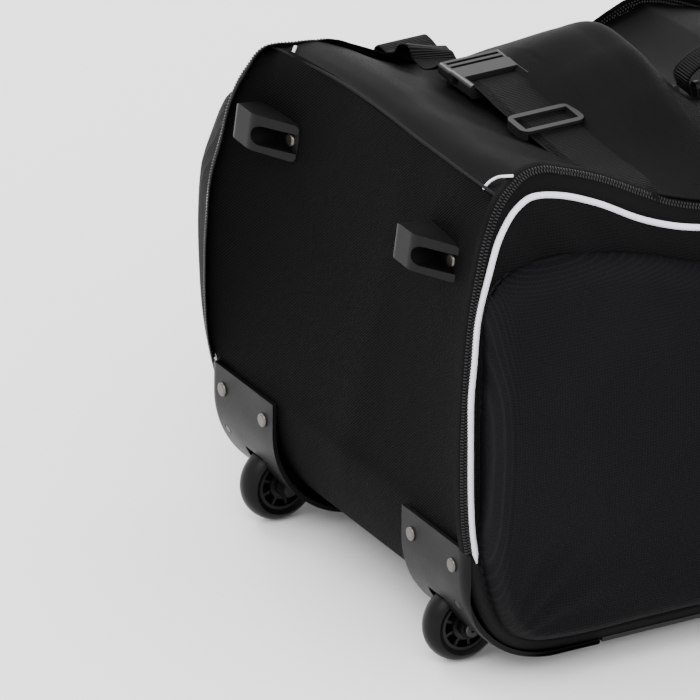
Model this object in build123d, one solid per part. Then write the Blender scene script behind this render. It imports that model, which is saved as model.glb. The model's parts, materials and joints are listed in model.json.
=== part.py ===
from build123d import *
import math
import os

# Rolling duffel bag, in millimetres. X runs from the wheel end to the handle end,
# Y from the near side to the far side, and Z up from the floor.
# Outlines give distances inwards from the plane of an end, and heights.

# Driving dimensions
LENGTH = 860                # overall, wheel tread to telescopic grip
WHEEL_R = 36
WHEEL_WIDTH = 27
WHEEL_Y = 160               # each wheel's middle, from the bag's centre plane
FLAP_INNER = 222            # the side flaps' inner face, up to where they lean in
LEAN_Z = 310                # height where the side flaps start to lean in
TOP_INNER = 198             # their inner face at the top seam's height
BASE_Z = 12                 # underside of the base
TOP_Z = 450                 # top seam of both ends
CORNER_R = 95               # lower corner of the wheel housings
HOUSING_TOP = 135
HOUSING_INNER = 113         # the housings' edge nearest the centre plane
HOUSING_REACH = 140
HOUSING_WALL = 4
FABRIC = 3                  # panel thickness
FLAP_WALL = 4
POCKET_DEPTH = 30
PIPING_R = 3
STRAP_D = 179               # strap's middle, from its end plane
STRAP_WIDTH = 50
BUCKLE_Y = 59
SLIDER_Y = -46
TUBE_Y = 75                 # telescopic tubes, from the centre plane
TUBE_Z = 30
STAGE_TRAVEL = 300
CLEAR = 0.3                 # gap between pieces that move past each other

# Worked out from them
END = LENGTH / 2 - 3.5      # plane of the housing plates, from the middle
AXLE_X = WHEEL_R - LENGTH / 2
AXLE_R = 4
CHEEK_OUTER = WHEEL_WIDTH / 2 + 6   # outer face of each cheek, from the wheel's middle
BODY_HALF = FLAP_INNER - 2.5
FLAP_OUTER = FLAP_INNER + FLAP_WALL
SIDE = FLAP_OUTER + 2.5     # outer face of the housings' side wrap
RIVETS_Y = (WHEEL_Y - 30, WHEEL_Y + 41)
RIVET_Z = 114
SCREW_Z = 74
PANEL_D = 5                 # the wheel end's fabric, behind the housing plates
LEAN_D = 46                 # and at its top seam
FOOT_Z = 372
FOOT_LENGTH = 65
FOOT_Y = (-152, 128)        # the thin end of each standing foot
RIVET_IN_FOOT = 12
LID_Z = 386                 # top edge of the flaps between the straps
STRAP_X = (STRAP_D - END, END - STRAP_D)
TAPE_Y = 211.3              # outer face of the zipper between the straps
HANDLE_END_D = 22           # the handle end's fabric, behind the bezel's face
BEZEL_HALF = 118
BEZEL_TOP = 66
UPRIGHT_TOP = 360           # where the handle end starts to lean back
GRAB_Y = (-70, 70)          # end grab handle's rivets
GRAB_Z = 330
GRAB_PIVOT = 13             # pins' distance out from the panel
PIPING_FOOT = 116
BOARD_HALF = 186
ZIP_GAP = 2
ZIP_WIDTH = 6
POCKET_ZIP_D = 245
POCKET_ZIP_Z = 322
STRAP_THICK = 2
STRAP_LIFT = 4.5            # webbing above the top panel
STRAP_REACH = 199
BUCKLE_Z = 436
RAIL_X = (-280, 376)
RAIL_Y = 90
RAIL_SCREWS = (-250, 48, 346)
TUBE_WIDE = 22
TUBE_HIGH = 16
TUBE_WALL = 1.2
TUBE_START = 20
TUBE_FRONT = END - 37
GRIP_HALF = 100
GRIP_BACK = LENGTH / 2 - 21
HAUL_HALF = 80
HAUL_Z = 407.4
RIVET_GRIP = 13.8
GRAB_GRIP = 11
POCKET_TOP = 388

# Crown of the top panel: distance from the end plane, edge height, crest height
CROWN = [(50, 440, TOP_Z), (142, 406, 428), (216, 400, 426), (262, 390, 462), (330, 380, 395)]
HANDLE_END_CREST = 458      # the lower of the two humps

os.makedirs("parts", exist_ok=True)


# Helpers

def save(name, *pieces):
    """Write one node, whose pieces are separate solids."""
    solids = [solid for piece in pieces for solid in piece.solids()]
    export_step(Compound(children=solids), f"parts/{name}.step")


def block(x, y, z):
    """Box between a low and a high limit along each axis."""
    middle = [(low + high) / 2 for low, high in (x, y, z)]
    return Pos(*middle) * Box(*[high - low for low, high in (x, y, z)])


def rod(centre, radius, length, axis="Y"):
    """Cylinder about its centre, along one axis."""
    turn = {"X": Rot(0, 90, 0), "Y": Rot(90, 0, 0), "Z": Rot(0, 0, 0)}[axis]
    return Pos(*centre) * turn * Cylinder(radius, length)


def outline(points, radii):
    """Face with rounded corners, in the plane y = 0."""
    line = FilletPolyline([(x, 0, z) for x, z in points], radius=radii, close=True)
    return make_face(line)


def prism(face, low, high):
    """The face carried from one Y plane to another."""
    return Pos(0, low, 0) * extrude(face, amount=high - low, dir=(0, 1, 0))


def far(piece):
    """The same piece on the far side of the bag."""
    return mirror(piece, about=Plane.XZ)


def wall_y(z):
    """Inner face of a side flap at a height, from the centre plane."""
    rise = max(0, z - LEAN_Z) / (TOP_Z - LEAN_Z)
    return FLAP_INNER - rise * (FLAP_INNER - TOP_INNER)


def side_wall(near, deep):
    """The near side's wall between two distances out from the flap's inner face."""
    top = TOP_Z + 30
    points = [(-wall_y(z) - near, z) for z in (-20, LEAN_Z, top)]
    points += [(-wall_y(z) - deep, z) for z in (top, LEAN_Z, -20)]
    line = FilletPolyline([(0, y, z) for y, z in points], radius=[0, 260, 0, 0, 260, 0], close=True)
    return Pos(-END - 20, 0, 0) * extrude(make_face(line), amount=2 * END + 40, dir=(1, 0, 0))


def wheel_end(points):
    """Distances from the wheel end, in bag coordinates."""
    return [(d - END, z) for d, z in points]


def handle_end(points):
    """Distances from the handle end, in bag coordinates, in the opposite order."""
    return [(END - d, z) for d, z in reversed(points)]


# Wheels

def tyre():
    """Cast tyre with a full round crown."""
    half, seat, shoulder = WHEEL_WIDTH / 2, 24, 28
    foot = Polyline((half, 0, shoulder), (half - 2, 0, seat), (2 - half, 0, seat), (-half, 0, shoulder))
    crown = ThreePointArc((-half, 0, shoulder), (0, 0, WHEEL_R), (half, 0, shoulder))
    ring = revolve(make_face([*foot.edges(), *crown.edges()]), axis=Axis.X)
    return Pos(AXLE_X, -WHEEL_Y, WHEEL_R) * Rot(0, 0, 90) * ring


def hub():
    """Nine-spoke hub with a bearing seat each side of a middle wall."""
    body = Cylinder(24, 22) - Cylinder(21, 22) + Cylinder(13.5, 24) + Cylinder(21.5, 2.4)
    for spoke in PolarLocations(17.2, 9):
        body += spoke * Box(9, 2.6, 19)
    body -= Cylinder(6.2, 30)
    for side in (1, -1):
        body -= Pos(0, 0, side * 8.5) * Cylinder(11, 7.02)
    return Pos(AXLE_X, -WHEEL_Y, WHEEL_R) * Rot(90, 0, 0) * body


def bearings():
    """Two ball bearings and the spacer tube between them."""
    bore = AXLE_R + 0.04
    pieces = [Cylinder(6, 9.9) - Cylinder(bore, 9.9)]
    for side in (1, -1):
        pieces.append(Pos(0, 0, side * 8.5) * (Cylinder(11, 7) - Cylinder(bore, 7)))
    turn = Pos(AXLE_X, -WHEEL_Y, WHEEL_R) * Rot(90, 0, 0)
    return [turn * piece for piece in pieces]


def axle():
    """Round-headed axle bolt through both cheeks of a housing."""
    face = -WHEEL_Y - CHEEK_OUTER
    shank = rod((AXLE_X, -WHEEL_Y + 1.5, WHEEL_R), AXLE_R, 2 * CHEEK_OUTER + 5)
    head = rod((AXLE_X, face - 1.9, WHEEL_R), 7, 3.6)
    head = fillet(head.edges().sort_by(Axis.Y)[0], 1.6)
    socket = Pos(AXLE_X, face - 3.7, WHEEL_R) * Rot(-90, 0, 0) * RegularPolygon(2.6, 6)
    return shank + head - extrude(socket, amount=2, dir=(0, 1, 0))


def axle_nut():
    """Nut on the inner end of the axle bolt."""
    face = Pos(AXLE_X, -WHEEL_Y + CHEEK_OUTER + 0.1, WHEEL_R) * Rot(90, 0, 0) * RegularPolygon(7.2, 6)
    return extrude(face, amount=4.2, dir=(0, 1, 0)) - rod((AXLE_X, -WHEEL_Y, WHEEL_R), AXLE_R, 80)


# Corner wheel housings

def housing_block(inset):
    """Solid lower corner of the bag, or the hollow inside its wall."""
    spare = 20 if inset else 0
    top, reach, low = HOUSING_TOP + spare, HOUSING_REACH + spare, BASE_Z + inset
    points = wheel_end([(inset, top), (inset, low), (reach, low), (reach, top)])
    face = outline(points, [0.5, CORNER_R - inset, 0.5, 0.5])
    solid = prism(face, inset - SIDE, spare - HOUSING_INNER)
    rim = solid.faces().sort_by(Axis.Y)[0].edges()
    outer = [edge for edge in rim if edge.center().X < HOUSING_REACH / 2 - END
             or edge.center().Z < BASE_Z + inset + 1]
    return fillet(outer, 16 - inset)


def housing():
    """Moulded corner: end plate, side wrap and wheel well, with the wheel slot cut out."""
    axle_line = (AXLE_X, -WHEEL_Y, WHEEL_R)
    corner = housing_block(0)
    shell = corner - housing_block(HOUSING_WALL)
    shell -= prism(offset(flap_face(), 1), -FLAP_OUTER - 20, 4 - FLAP_INNER)
    shell += rod(axle_line, 44, 2 * CHEEK_OUTER) & corner
    shell -= rod(axle_line, 40, WHEEL_WIDTH + 4)
    cheek = CHEEK_OUTER - WHEEL_WIDTH / 2 - 2
    for side in (1, -1):
        y = -WHEEL_Y + side * CHEEK_OUTER
        shell += rod((AXLE_X, y - side * cheek / 2, WHEEL_R), 10, cheek)
        shell -= rod((AXLE_X, y, WHEEL_R), AXLE_R, 12)
        shell -= rod((AXLE_X, y + side * 5, WHEEL_R), 9, 10)
    for y in RIVETS_Y:
        shell -= rod((-END, -y, RIVET_Z), 2.55, 30, "X")
    seat = screw_seat()
    return shell - seat * Pos(0, 0, 2.6) * Cylinder(4.6, 10) - seat * Cylinder(2, 20)


def screw_seat():
    """Place of the housing's corner screw, square to the curved wall."""
    rise = math.asin((BASE_Z + CORNER_R - SCREW_Z) / CORNER_R)
    x = CORNER_R * (1 - math.cos(rise)) - END
    return Pos(x, -RIVETS_Y[1], SCREW_Z) * Rot(0, -90 - math.degrees(rise), 0)


def screw():
    """Round-headed screw along local Z, its head upwards."""
    head = Pos(0, 0, -1) * Cylinder(4.2, 2.4)
    return fillet(head.edges().sort_by(Axis.Z)[-1], 1.2) + Pos(0, 0, -8) * Cylinder(2, 12)


def rivet(grip):
    """Domed rivet along local Z, with a washer behind the pieces that it clamps."""
    head = Pos(0, 0, 1.2) * Cylinder(6.5, 2.4)
    head = fillet(head.edges().sort_by(Axis.Z)[-1], 2)
    washer = Pos(0, 0, -grip - 0.6) * Cylinder(6, 1.2)
    return head + Pos(0, 0, -grip / 2) * Cylinder(2.5, grip) + washer


# Standing feet on the wheel end

def foot_place(index):
    """Where a foot stands: local X across the bag, local Z straight out of the panel."""
    lean = math.atan2(LEAN_D - PANEL_D, TOP_Z - HOUSING_TOP)
    d = PANEL_D + (FOOT_Z - HOUSING_TOP) * math.tan(lean)
    return Plane((d - END, FOOT_Y[index], FOOT_Z), (0, 1, 0), (-math.cos(lean), 0, math.sin(lean)))


def foot():
    """Wedge-shaped foot with a round-ended recess round its rivet, lying along local X."""
    side = outline([(0, 0), (FOOT_LENGTH, 0), (FOOT_LENGTH, 35), (33, 33), (0, 5)], [0.4, 1, 9, 14, 1])
    wedge = prism(side, -24, 18)
    plan = make_face(FilletPolyline([(0, -17), (FOOT_LENGTH, -20), (FOOT_LENGTH, 12.5), (0, 17)],
                                    radius=[4, 11, 9, 4], close=True))
    body = wedge & extrude(plan, amount=50)
    recess = Pos(25, 0, 25) * Cylinder(9, 42) + block((-5, 25), (-9, 9), (4, 46))
    return body - recess - Pos(RIVET_IN_FOOT, 0, 0) * Cylinder(2.55, 20)


# Fabric panels, simple and flat

def wheel_end_face(near, deep):
    """Section of the wheel end between two depths: a big curve under, then a lean back."""
    low = BASE_Z + near
    points = wheel_end([
        (HOUSING_REACH - 12, low), (PANEL_D + near, low), (PANEL_D + near, HOUSING_TOP),
        (LEAN_D + near, TOP_Z - 2), (LEAN_D + deep, TOP_Z - 2), (PANEL_D + deep, HOUSING_TOP),
        (PANEL_D + deep, BASE_Z + deep), (HOUSING_REACH - 12, BASE_Z + deep)])
    return outline(points, [0.3, 118 - near, 40, 0.3, 0.3, 40, 118 - deep, 0.3])


def wheel_end_layer(near, deep, half):
    """One layer of the wheel end, notched where the wheel housings are."""
    layer = prism(wheel_end_face(near, deep), -half, half)
    for side in (-1, 1):
        wall = side_wall(half - FLAP_INNER, 30)
        layer -= wall if side < 0 else far(wall)
        y = sorted((side * (HOUSING_INNER - 2), side * (half + 10)))
        layer -= block((-END - 10, -END + 160), y, (0, 100))
    for y in RIVETS_Y:
        for side in (-1, 1):
            layer -= rod((-END, side * y, RIVET_Z), 2.55, 60, "X")
    for index in (0, 1):
        layer -= foot_place(index) * (Pos(RIVET_IN_FOOT, 0, 0) * Cylinder(2.55, 40))
    return layer


def handle_end_panel():
    """Upright panel of the handle end, with a hole for the telescopic handle's bezel."""
    low, d = BASE_Z, HANDLE_END_D
    points = [(d + 28, low), (d, low), (d, UPRIGHT_TOP), (LEAN_D, TOP_Z - 2),
              (LEAN_D + FABRIC, TOP_Z - 2), (d + FABRIC, UPRIGHT_TOP), (d + FABRIC, low + FABRIC),
              (d + 28, low + FABRIC)]
    face = outline(handle_end(points), [0.3, 19, 40, 0.3, 0.3, 40, 22, 0.3])
    wall = side_wall(BODY_HALF - FLAP_INNER, 30)
    panel = prism(face, -BODY_HALF, BODY_HALF) - wall - far(wall)
    hole = BEZEL_HALF + 1
    panel -= block((END - d - 200, END + 20), (-hole, hole), (0, BEZEL_TOP + 1))
    for y in GRAB_Y:
        panel -= rod((END - d, y, GRAB_Z), 2.55, 30, "X")
    return panel


def handle_end_board():
    """Inner board that stiffens the handle end above the bezel."""
    d = HANDLE_END_D + FABRIC + 1
    points = handle_end([(d, 80), (d, UPRIGHT_TOP), (LEAN_D + 2, 425), (LEAN_D + 4, 425),
                         (d + 2, UPRIGHT_TOP), (d + 2, 80)])
    board = prism(outline(points, [0.3, 40, 0.3, 0.3, 40, 0.3]), -BOARD_HALF, BOARD_HALF)
    for y in GRAB_Y:
        board -= rod((END - d, y, GRAB_Z), 2.55, 30, "X")
    return board


def crown_section(x, edge, crest):
    """Arched section of the top panel across the bag."""
    half = wall_y(edge) - 2.5
    upper = ThreePointArc((x, -half, edge), (x, 0, crest), (x, half, edge))
    lower = ThreePointArc((x, half, edge - FABRIC), (x, 0, crest - FABRIC), (x, -half, edge - FABRIC))
    ends = [Line((x, y, edge), (x, y, edge - FABRIC)) for y in (half, -half)]
    return make_face([curve.edge() for curve in (upper, ends[0], lower, ends[1])])


def top_panel():
    """Arched top, pressed down under both compression straps and full between them."""
    sections = [crown_section(d - END, edge, crest) for d, edge, crest in CROWN]
    for d, edge, crest in reversed(CROWN):
        sections.append(crown_section(END - d, edge, min(crest, HANDLE_END_CREST)))
    return loft(sections, ruled=True)


def base_outline(low, high, half):
    """Flat layer of the base, notched at the wheel housings and at the bezel."""
    layer = block((HOUSING_REACH - 10 - END, END - HANDLE_END_D - 30), (-half, half), (low, high))
    for side in (-1, 1):
        y = sorted((side * (HOUSING_INNER - 2), side * (half + 10)))
        layer -= block((-END, HOUSING_REACH + 2 - END), y, (0, 60))
    return layer


# Side flaps

def flap_points():
    """Corners of a side flap, from the wheel end's foot round to the handle end's."""
    half = [(7, 17), (5, 320), (26, 404), (56, 456), (98, 452), (156, 406), (208, 396),
            (262, 388), (330, LID_Z)]
    radii = [78, 150, 150, 26, 50, 40, 40, 60, 50]
    return wheel_end(half) + handle_end(half), radii + radii[::-1]


def flap_face():
    """A side flap's outline."""
    return outline(*flap_points())


def flap_panel():
    """Large side flap, which folds down along its lower edge."""
    return prism(flap_face(), -SIDE - 10, -TOP_INNER + 20) & side_wall(0, FLAP_WALL)


def flap_piping():
    """Piping along the flap's ends and top, above the wheel housings."""
    ring = offset(flap_face(), -1) - offset(flap_face(), -1 - 2 * PIPING_R)
    band = prism(ring, -SIDE - 20, -TOP_INNER + 20)
    tube = band & side_wall(FLAP_WALL + 0.1, FLAP_WALL + 2 * PIPING_R)
    return tube - block((-END - 10, END + 10), (-SIDE - 30, 0), (0, PIPING_FOOT))


def pocket():
    """Outer pocket on the flap: a shallow dish, closed by its zipper."""
    half = [(20, 34), (18, POCKET_TOP), (130, POCKET_TOP - 2), (240, POCKET_TOP - 36)]
    face = outline(wheel_end(half) + handle_end(half), [64, 62, 100, 100, 100, 100, 62, 64])
    outer = prism(face, -SIDE - 40, -TOP_INNER + 20) & side_wall(FLAP_WALL, FLAP_WALL + POCKET_DEPTH)
    inner = prism(offset(face, -FABRIC), -SIDE - 40, -TOP_INNER + 20)
    return outer - (inner & side_wall(FLAP_WALL - 1, FLAP_WALL + POCKET_DEPTH - FABRIC))


# Zippers

def flap_zipper():
    """The body's half of the flap's zipper, just outside the flap's ends and top."""
    band = offset(flap_face(), ZIP_GAP + ZIP_WIDTH) - offset(flap_face(), ZIP_GAP)
    tape = prism(band, -SIDE, -TOP_INNER + 20) & side_wall(-2, 1)
    return tape - block((-END - 20, END + 20), (-SIDE, SIDE), (0, HOUSING_TOP + 1))


def zip_slider():
    """Slider on the flap's zipper, straddling the coil."""
    z = LID_Z + ZIP_GAP + ZIP_WIDTH / 2
    y = -TAPE_Y
    plate = block((-8, 8), (y - 2.4, y - CLEAR), (z - 3.5, z + 3.5))
    plate = fillet(plate.edges().filter_by(Axis.Y), 2.5)
    lug = block((4.6, 7.4), (y - 4.6, y - 2.4), (z - 1.4, z + 1.4))
    return plate + lug - rod((6, y - 3.5, z), 0.75, 10, "Z")


def zip_pull():
    """Pull tab lying along the zipper, on the slider's pin."""
    z = LID_Z + ZIP_GAP + ZIP_WIDTH / 2
    y = -TAPE_Y - 3.5
    pin = rod((6, y, z), 0.7, 5.2, "Z")
    tab = block((5.4, 38), (y - 0.6, y + 0.6), (z - 4, z + 4))
    tab -= block((4.4, 8.4), (y - 2, y + 2), (z - 1.9, z + 1.9))
    return fillet(tab.edges().filter_by(Axis.Y).sort_by(Axis.X)[-2:], 3) + pin


def pocket_zipper():
    """Closed zipper across the top of the pocket."""
    surface = FLAP_WALL + POCKET_DEPTH
    band = block((POCKET_ZIP_D - END, END - POCKET_ZIP_D), (-SIDE - 40, -TOP_INNER),
                 (POCKET_ZIP_Z - 7, POCKET_ZIP_Z + 7))
    return band & side_wall(surface + 0.1, surface + 1.6)


def pocket_slider():
    """Slider and cord pull of the pocket's zipper."""
    y = -wall_y(POCKET_ZIP_Z - 8) - FLAP_WALL - POCKET_DEPTH - 1.6
    plate = block((-8, 8), (y - 2.6, y - CLEAR), (POCKET_ZIP_Z - 4, POCKET_ZIP_Z + 4))
    plate = fillet(plate.edges().filter_by(Axis.Y), 2.5)
    tab = block((-3, 3), (y - 3.8, y - 2.6), (POCKET_ZIP_Z - 32, POCKET_ZIP_Z + 2))
    return plate + fillet(tab.edges().filter_by(Axis.Y), 1.5)


# Compression straps

def crown_z(y):
    """Height of the top panel under a strap."""
    edge, crest = CROWN[1][1:]
    rise = crest - edge
    half = wall_y(edge) - 2.5
    radius = (half ** 2 + rise ** 2) / (2 * rise)
    return crest - radius + math.sqrt(radius ** 2 - y ** 2)


def ribbon(points, x):
    """Webbing through a few points of its underside, in a Y-Z plane, centred on x."""
    low = Spline(*[(x, y, z) for y, z in points])
    high = Spline(*[(x, y, z + STRAP_THICK) for y, z in reversed(points)])
    ends = [Line(low @ 1, high @ 0), Line(high @ 1, low @ 0)]
    face = make_face([curve.edge() for curve in (low, ends[0], high, ends[1])])
    return Pos(-STRAP_WIDTH / 2, 0, 0) * extrude(face, amount=STRAP_WIDTH, dir=(1, 0, 0))


def strap_near(x):
    """Webbing from the near seam to the buckle's socket."""
    points = [(y, crown_z(y) + STRAP_LIFT) for y in (-STRAP_REACH, -140, -70, -20)]
    high = BUCKLE_Z + 1.5
    return ribbon([*points, (BUCKLE_Y - 34, high), (BUCKLE_Y - 12, high)], x)


def strap_far(x):
    """Webbing from the buckle's plug, slack over the far edge, to the far seam."""
    high = BUCKLE_Z + 8
    points = [(BUCKLE_Y + 64, high), (150, high - 4), (176, high - 15), (STRAP_REACH, CROWN[1][1] + 8)]
    return ribbon(points, x)


def buckle_socket(x):
    """Female half of a side-release buckle."""
    y, z = BUCKLE_Y, BUCKLE_Z
    body = block((x - 31, x + 31), (y - 28, y + 8), (z - 7, z + 7))
    body = fillet(body.edges().filter_by(Axis.Y), 4)
    body -= block((x - 25, x + 25), (y - 8, y + 20), (z - 4, z + 4))
    body -= block((x - 26.5, x + 26.5), (y - 23, y - 10), (z - 20, z + 20))
    body -= block((x - 26.5, x + 26.5), (y - 40, y - 20), (z + 0.5, z + 20))
    for side in (-1, 1):
        low, high = sorted((x + side * 21, x + side * 40))
        body -= block((low, high), (y - 7, y + 3), (z - 4, z + 4))
    return body


def buckle_plug(x):
    """Male half: a base with its webbing bar, a middle tongue and two side prongs."""
    y, z = BUCKLE_Y, BUCKLE_Z
    base = block((x - 31, x + 31), (y + 9, y + 28), (z - 6, z + 6))
    base = fillet(base.edges().filter_by(Axis.Y), 4)
    base -= block((x - 26, x + 26), (y + 12, y + 16), (z - 10, z + 10))
    base -= block((x - 26, x + 26), (y + 20, y + 24), (z - 10, z + 10))
    tongue = block((x - 5, x + 5), (y - 7, y + 10), (z - 2, z + 2))
    prongs = [block((low, low + 5), (y - 6, y + 10), (z - 3, z + 3)) for low in (x - 24, x + 19)]
    return base + tongue + prongs[0] + prongs[1]


def strap_slider(x):
    """Tri-glide on the near webbing: a frame over it and a middle bar under it."""
    z = crown_z(SLIDER_Y) + STRAP_LIFT
    gap = 1.1
    low, high = z - gap - 2.2, z + STRAP_THICK + gap + 2.6
    outer, inner = STRAP_WIDTH / 2 + 7, STRAP_WIDTH / 2 + 1.5
    slope = math.degrees(math.atan2(crown_z(SLIDER_Y + 5) - crown_z(SLIDER_Y - 5), 10))
    frame = block((-outer, outer), (-17, 17), (low - z, high - z))
    frame = fillet(frame.edges().filter_by(Axis.Z), 9)
    frame -= block((-inner, inner), (-30, 30), (-gap, STRAP_THICK + gap))
    for side in (-1, 1):
        y = sorted((side * 4, side * 30))
        frame -= block((-inner, inner), y, (-20, 0))
    frame -= block((-inner, inner), (-11, 11), (STRAP_THICK, 20))
    return Pos(x, SLIDER_Y, z) * Rot(slope, 0, 0) * frame


# Base, skid rails and telescopic handle

def skid_rail():
    """Moulded runner under the base, with rounded ends."""
    points = [(RAIL_X[0], 0), (RAIL_X[1], 0), (RAIL_X[1], BASE_Z), (RAIL_X[0], BASE_Z)]
    rail = prism(outline(points, [9, 9, 0.5, 0.5]), -RAIL_Y - 13, -RAIL_Y + 13)
    for x in RAIL_SCREWS:
        rail -= Pos(x, -RAIL_Y, 0) * Cylinder(4.6, 12) + rod((x, -RAIL_Y, 6), 2, 30, "Z")
    return rail


def tube(length, width, height, wall):
    """Hollow rectangular tube along X from its inner end at x = 0."""
    outer = block((0, length), (-width / 2, width / 2), (-height / 2, height / 2))
    outer = fillet(outer.edges().filter_by(Axis.X), 3)
    inner = block((-1, length + 1), (wall - width / 2, width / 2 - wall),
                  (wall - height / 2, height / 2 - wall))
    return outer - fillet(inner.edges().filter_by(Axis.X), 3 - wall / 2)


def stage_tubes(stage):
    """Pair of tubes of one telescopic stage, the outer pair being stage 0."""
    shrink = 2 * stage * (TUBE_WALL + CLEAR)
    start = TUBE_START + 6 * stage
    length = TUBE_FRONT + 4 * stage - start
    piece = tube(length, TUBE_WIDE - shrink, TUBE_HIGH - shrink, TUBE_WALL)
    return [Pos(start, side * TUBE_Y, TUBE_Z) * piece for side in (-1, 1)]


def tube_bracket():
    """Bracket that holds the outer tubes' inner ends to the base board."""
    low = BASE_Z + 6
    body = block((TUBE_START - 14, TUBE_START + 30), (-TUBE_Y - 22, TUBE_Y + 22), (low, TUBE_Z + 13))
    body = fillet(body.edges().filter_by(Axis.Z), 5)
    for side in (-1, 1):
        y = side * TUBE_Y
        body -= block((TUBE_START, TUBE_START + 60), (y - TUBE_WIDE / 2, y + TUBE_WIDE / 2),
                      (TUBE_Z - TUBE_HIGH / 2, TUBE_Z + TUBE_HIGH / 2))
    return body - block((TUBE_START - 20, TUBE_START + 60), (-TUBE_Y + 18, TUBE_Y - 18), (low + 4, 100))


def tunnel_cover():
    """Pressed cover over the tubes, inside the main compartment."""
    x = (TUBE_START + 34, END - 50)
    cover = block(x, (-TUBE_Y - 25, TUBE_Y + 25), (BASE_Z + 6, TUBE_Z + 14))
    cover = fillet(cover.edges().filter_by(Axis.X).group_by(Axis.Z)[-1], 7)
    hollow = block((x[0] - 1, x[1] + 1), (-TUBE_Y - 23, TUBE_Y + 23), (0, TUBE_Z + 12))
    return cover - fillet(hollow.edges().filter_by(Axis.X).group_by(Axis.Z)[-1], 5)


def bezel():
    """Moulded tray of the handle end, open outwards, that the grip sits in."""
    x = (END - 46, END + 1)
    body = block(x, (-BEZEL_HALF, BEZEL_HALF), (BASE_Z - 4, BEZEL_TOP))
    body = fillet(body.edges().filter_by(Axis.X), 9)
    body = fillet(body.faces().sort_by(Axis.X)[-1].edges(), 3)
    body -= block((x[0] + 5, x[1] + 9), (-BEZEL_HALF + 6, BEZEL_HALF - 6), (BASE_Z + 1, BEZEL_TOP - 5))
    for side in (-1, 1):
        y = side * TUBE_Y
        body -= block((x[0] - 5, x[0] + 9), (y - TUBE_WIDE / 2, y + TUBE_WIDE / 2),
                      (TUBE_Z - TUBE_HIGH / 2, TUBE_Z + TUBE_HIGH / 2))
    return body


def grip():
    """U-shaped grip on the inner tubes, with a well for its button."""
    face, back = LENGTH / 2, GRIP_BACK
    bar = block((back, face), (-GRIP_HALF, GRIP_HALF), (TUBE_Z - 11, TUBE_Z + 11))
    bar = fillet(bar.edges().filter_by(Axis.Y), 8)
    legs = [block((TUBE_FRONT + 8.2, back + 8), (y - 11, y + 11), (TUBE_Z - 8, TUBE_Z + 8))
            for y in (-TUBE_Y, TUBE_Y)]
    body = bar + legs[0] + legs[1]
    return body - block((face - 8, face + 5), (-19, 19), (TUBE_Z - 6, TUBE_Z + 6))


def button():
    """Release button in the grip's outer face."""
    body = block((LENGTH / 2 - 3.4, LENGTH / 2 - 0.4), (-18.6, 18.6), (TUBE_Z - 5.6, TUBE_Z + 5.6))
    return fillet(body.faces().sort_by(Axis.X)[-1].edges(), 1.2)


# Carrying handles

def haul_anchor(x):
    """Moulded foot of the top handle, with the ears of its pivot."""
    z = HAUL_Z
    body = block((x - 17, x + 17), (-17, 17), (z - 12, z - 8))
    body = fillet(body.edges().filter_by(Axis.Z), 5)
    for side in (-1, 1):
        ear = block((x + side * 11 - 2.5, x + side * 11 + 2.5), (-6, 6), (z - 9, z))
        body += ear + rod((x + side * 11, 0, z), 6, 5, "X")
    return body - rod((x, 0, z), 2.55, 60, "X")


def haul_handle():
    """Arched top handle, turning on two pins."""
    z, reach = HAUL_Z, HAUL_HALF
    points = [(-reach - 5, z - 4), (-reach - 5, z + 38), (reach + 5, z + 38), (reach + 5, z - 4),
              (reach - 5, z - 4), (reach - 5, z + 28), (5 - reach, z + 28), (5 - reach, z - 4)]
    arch = prism(outline(points, [4, 34, 34, 4, 4, 25, 25, 4]), -5, 5)
    arch = fillet(arch.edges().filter_by(Axis.Y, reverse=True).group_by(Axis.Y)[0], 3)
    grip_pad = block((-52, 52), (-14, 14), (z + 25, z + 41))
    grip_pad = fillet(grip_pad.edges().filter_by(Axis.X), 7)
    pins = [rod((x, 0, z), 2.5, 28, "X") for x in (-reach, reach)]
    return arch + grip_pad + pins[0] + pins[1]


def grab_anchor(y):
    """Moulded lug of the end handle, riveted to the handle end."""
    x = END - HANDLE_END_D
    body = block((x + 0.2, x + 4), (y - 15, y + 15), (GRAB_Z - 15, GRAB_Z + 15))
    body = fillet(body.edges().filter_by(Axis.X), 6)
    for side in (-1, 1):
        ear_y = y + side * 11
        body += rod((x + GRAB_PIVOT, ear_y, GRAB_Z), 6, 5)
        body += block((x + 3, x + GRAB_PIVOT), (ear_y - 2.5, ear_y + 2.5), (GRAB_Z - 6, GRAB_Z + 6))
    body -= rod((x + GRAB_PIVOT, y, GRAB_Z), 2.55, 60)
    return body - rod((x, y, GRAB_Z), 2.55, 14, "X")


def grab_handle():
    """Bail handle of the handle end, hanging flat from its two pins."""
    x = END - HANDLE_END_D + GRAB_PIVOT
    reach, drop = GRAB_Y[1], 58
    line = FilletPolyline((x, -reach, GRAB_Z), (x, -reach, GRAB_Z - drop),
                          (x, reach, GRAB_Z - drop), (x, reach, GRAB_Z), radius=26)
    tube_face = Plane((x, -reach, GRAB_Z), z_dir=(0, 0, -1)) * Circle(5)
    bail = sweep(tube_face, path=line)
    pad = rod((x, 0, GRAB_Z - drop), 8, 84)
    pad = fillet(pad.edges(), 3)
    pins = [rod((x, y, GRAB_Z), 2.5, 28) for y in GRAB_Y]
    knuckles = [Pos(x, y, GRAB_Z) * Sphere(5.4) for y in GRAB_Y]
    return bail + pad + pins[0] + pins[1] + knuckles[0] + knuckles[1]


# The whole bag

def build_wheels(name, side):
    """The wheel, its axle and its housing at one corner."""
    save(f"wheel_tyre_{name}", side(tyre()))
    save(f"wheel_hub_{name}", side(hub()))
    save(f"wheel_bearings_{name}", *[side(piece) for piece in bearings()])
    save(f"wheel_housing_{name}", side(housing()))


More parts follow.
